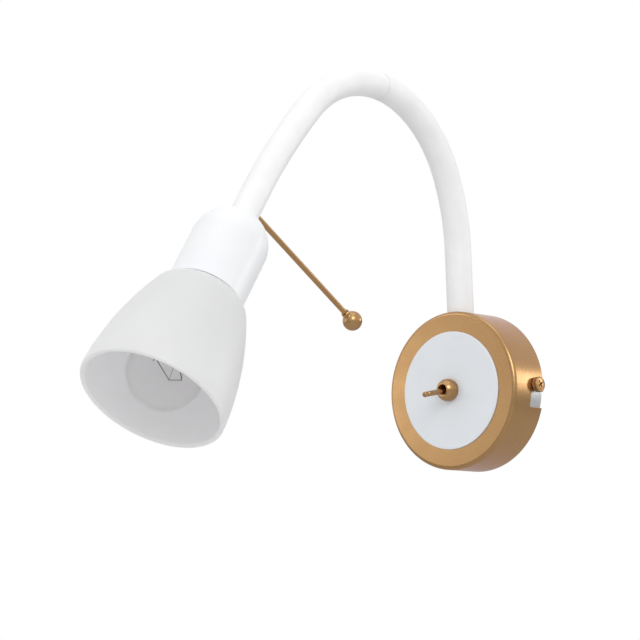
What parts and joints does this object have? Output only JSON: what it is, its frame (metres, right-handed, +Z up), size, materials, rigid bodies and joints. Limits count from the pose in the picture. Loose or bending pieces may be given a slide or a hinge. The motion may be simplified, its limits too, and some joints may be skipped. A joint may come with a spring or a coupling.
{
  "type": "wall reading lamp",
  "caption": "Bedside wall lamp: round brass canopy with toggle switch, white flexible gooseneck, opal bell shade and a long ball-ended aiming rod.",
  "frame": {"origin": "on the wall plane, at the canopy's centre", "axes": "+Z up; +Y into the wall; -Y out into the room"},
  "size_m": [0.1072, 0.3335, 0.2453],
  "materials": {
    "satin_brass": "satin",
    "white_paint": "satin",
    "zinc_steel": "zinc plated",
    "opal_glass": "satin opal",
    "clear_glass": "clear",
    "black_plastic": "moulded",
    "white_plastic": "moulded",
    "white_silicone": "soft matt",
    "wound_steel": "wound wire",
    "tin_solder": "dull",
    "black_vitrite": "gloss",
    "nickel_cap": "nickel plated",
    "nickel_wire": "drawn",
    "tungsten_wire": "coiled"
  },
  "bodies": {
    "canopy": {"canopy_cup": "satin_brass", "front_disc": "white_paint", "wall_bracket": "zinc_steel", "side_screws": "satin_brass", "toggle_collar": "satin_brass", "switch_bushing": "satin_brass", "switch_washer": "zinc_steel", "switch_nut": "zinc_steel", "switch_body": "black_plastic", "switch_terminals": "zinc_steel", "terminal_block": "white_plastic", "terminal_screws": "satin_brass", "earth_screw": "satin_brass", "base_ferrule": "satin_brass", "base_washer": "zinc_steel", "base_nut": "satin_brass", "neck_sleeve_base": "white_silicone", "neck_core_base": "wound_steel"},
    "toggle": {"toggle_lever": "satin_brass"},
    "link_1": {"neck_sleeve_1": "white_silicone", "neck_core_1": "wound_steel"},
    "link_2": {"neck_sleeve_2": "white_silicone", "neck_core_2": "wound_steel"},
    "link_3": {"neck_sleeve_3": "white_silicone", "neck_core_3": "wound_steel"},
    "link_4": {"neck_sleeve_4": "white_silicone", "neck_core_4": "wound_steel"},
    "link_5": {"neck_sleeve_5": "white_silicone", "neck_core_5": "wound_steel"},
    "link_6": {"neck_sleeve_6": "white_silicone", "neck_core_6": "wound_steel"},
    "link_7": {"neck_sleeve_7": "white_silicone", "neck_core_7": "wound_steel"},
    "head": {"neck_sleeve_head": "white_silicone", "neck_core_head": "wound_steel", "head_ferrule": "satin_brass", "holder_cup": "white_paint", "dome_nut": "satin_brass", "holder_cap": "white_plastic", "holder_body": "white_plastic", "holder_shell": "satin_brass", "holder_contact": "satin_brass", "shade_glass": "opal_glass", "shade_ring": "white_plastic", "handle_rod": "satin_brass", "handle_ball": "satin_brass"},
    "bulb_tip": {"bulb_contact": "tin_solder", "bulb_insulator": "black_vitrite"},
    "bulb": {"bulb_cap": "nickel_cap", "bulb_glass": "clear_glass", "bulb_stem": "clear_glass", "bulb_supports": "nickel_wire", "bulb_filament": "tungsten_wire"}
  },
  "joints": [
    {"name": "toggle_flip", "type": "hinge", "parent": "canopy", "child": "toggle", "pos_m": [0, -0.0331, 0], "axis": [1, 0, 0], "range_deg": [-21, 0]},
    {"name": "neck_bend_1", "type": "hinge", "parent": "canopy", "child": "link_1", "pos_m": [0, -0.0166, 0.072], "axis": [1, 0, 0], "range_deg": [-10, 10]},
    {"name": "neck_sway_2", "type": "hinge", "parent": "link_1", "child": "link_2", "pos_m": [0, -0.0166, 0.09035], "axis": [0, 1, 0], "range_deg": [-15, 15]},
    {"name": "neck_bend_3", "type": "hinge", "parent": "link_2", "child": "link_3", "pos_m": [0, -0.02649, 0.13963], "axis": [1, 0, 0], "range_deg": [-20, 10]},
    {"name": "neck_sway_4", "type": "hinge", "parent": "link_3", "child": "link_4", "pos_m": [0, -0.05209, 0.17205], "axis": [0, 0.5892, 0.808], "range_deg": [-15, 15]},
    {"name": "neck_bend_5", "type": "hinge", "parent": "link_4", "child": "link_5", "pos_m": [0, -0.09078, 0.18651], "axis": [1, 0, 0], "range_deg": [-20, 8]},
    {"name": "neck_sway_6", "type": "hinge", "parent": "link_5", "child": "link_6", "pos_m": [0, -0.12656, 0.1819], "axis": [0, -0.3355, 0.9421], "range_deg": [-15, 15]},
    {"name": "neck_bend_7", "type": "hinge", "parent": "link_6", "child": "link_7", "pos_m": [0, -0.1572, 0.16286], "axis": [1, 0, 0], "range_deg": [-20, 10]},
    {"name": "neck_sway_8", "type": "hinge", "parent": "link_7", "child": "head", "pos_m": [0, -0.18798, 0.13019], "axis": [0, -0.7581, 0.6521], "range_deg": [-15, 15]},
    {"name": "bulb_travel", "type": "slide", "parent": "head", "child": "bulb_tip", "axis": [0, -0.5818, -0.8133], "range_m": [0, 0.00564]},
    {"name": "bulb_turn", "type": "hinge", "parent": "bulb_tip", "child": "bulb", "pos_m": [0, -0.21854, 0.08971], "axis": [0, -0.5818, -0.8133], "range_deg": [0, 720]}
  ],
  "couplings": [
    {"joint": "bulb_travel", "follows": "bulb_turn", "m_per_rad": 0.00044882}
  ]
}
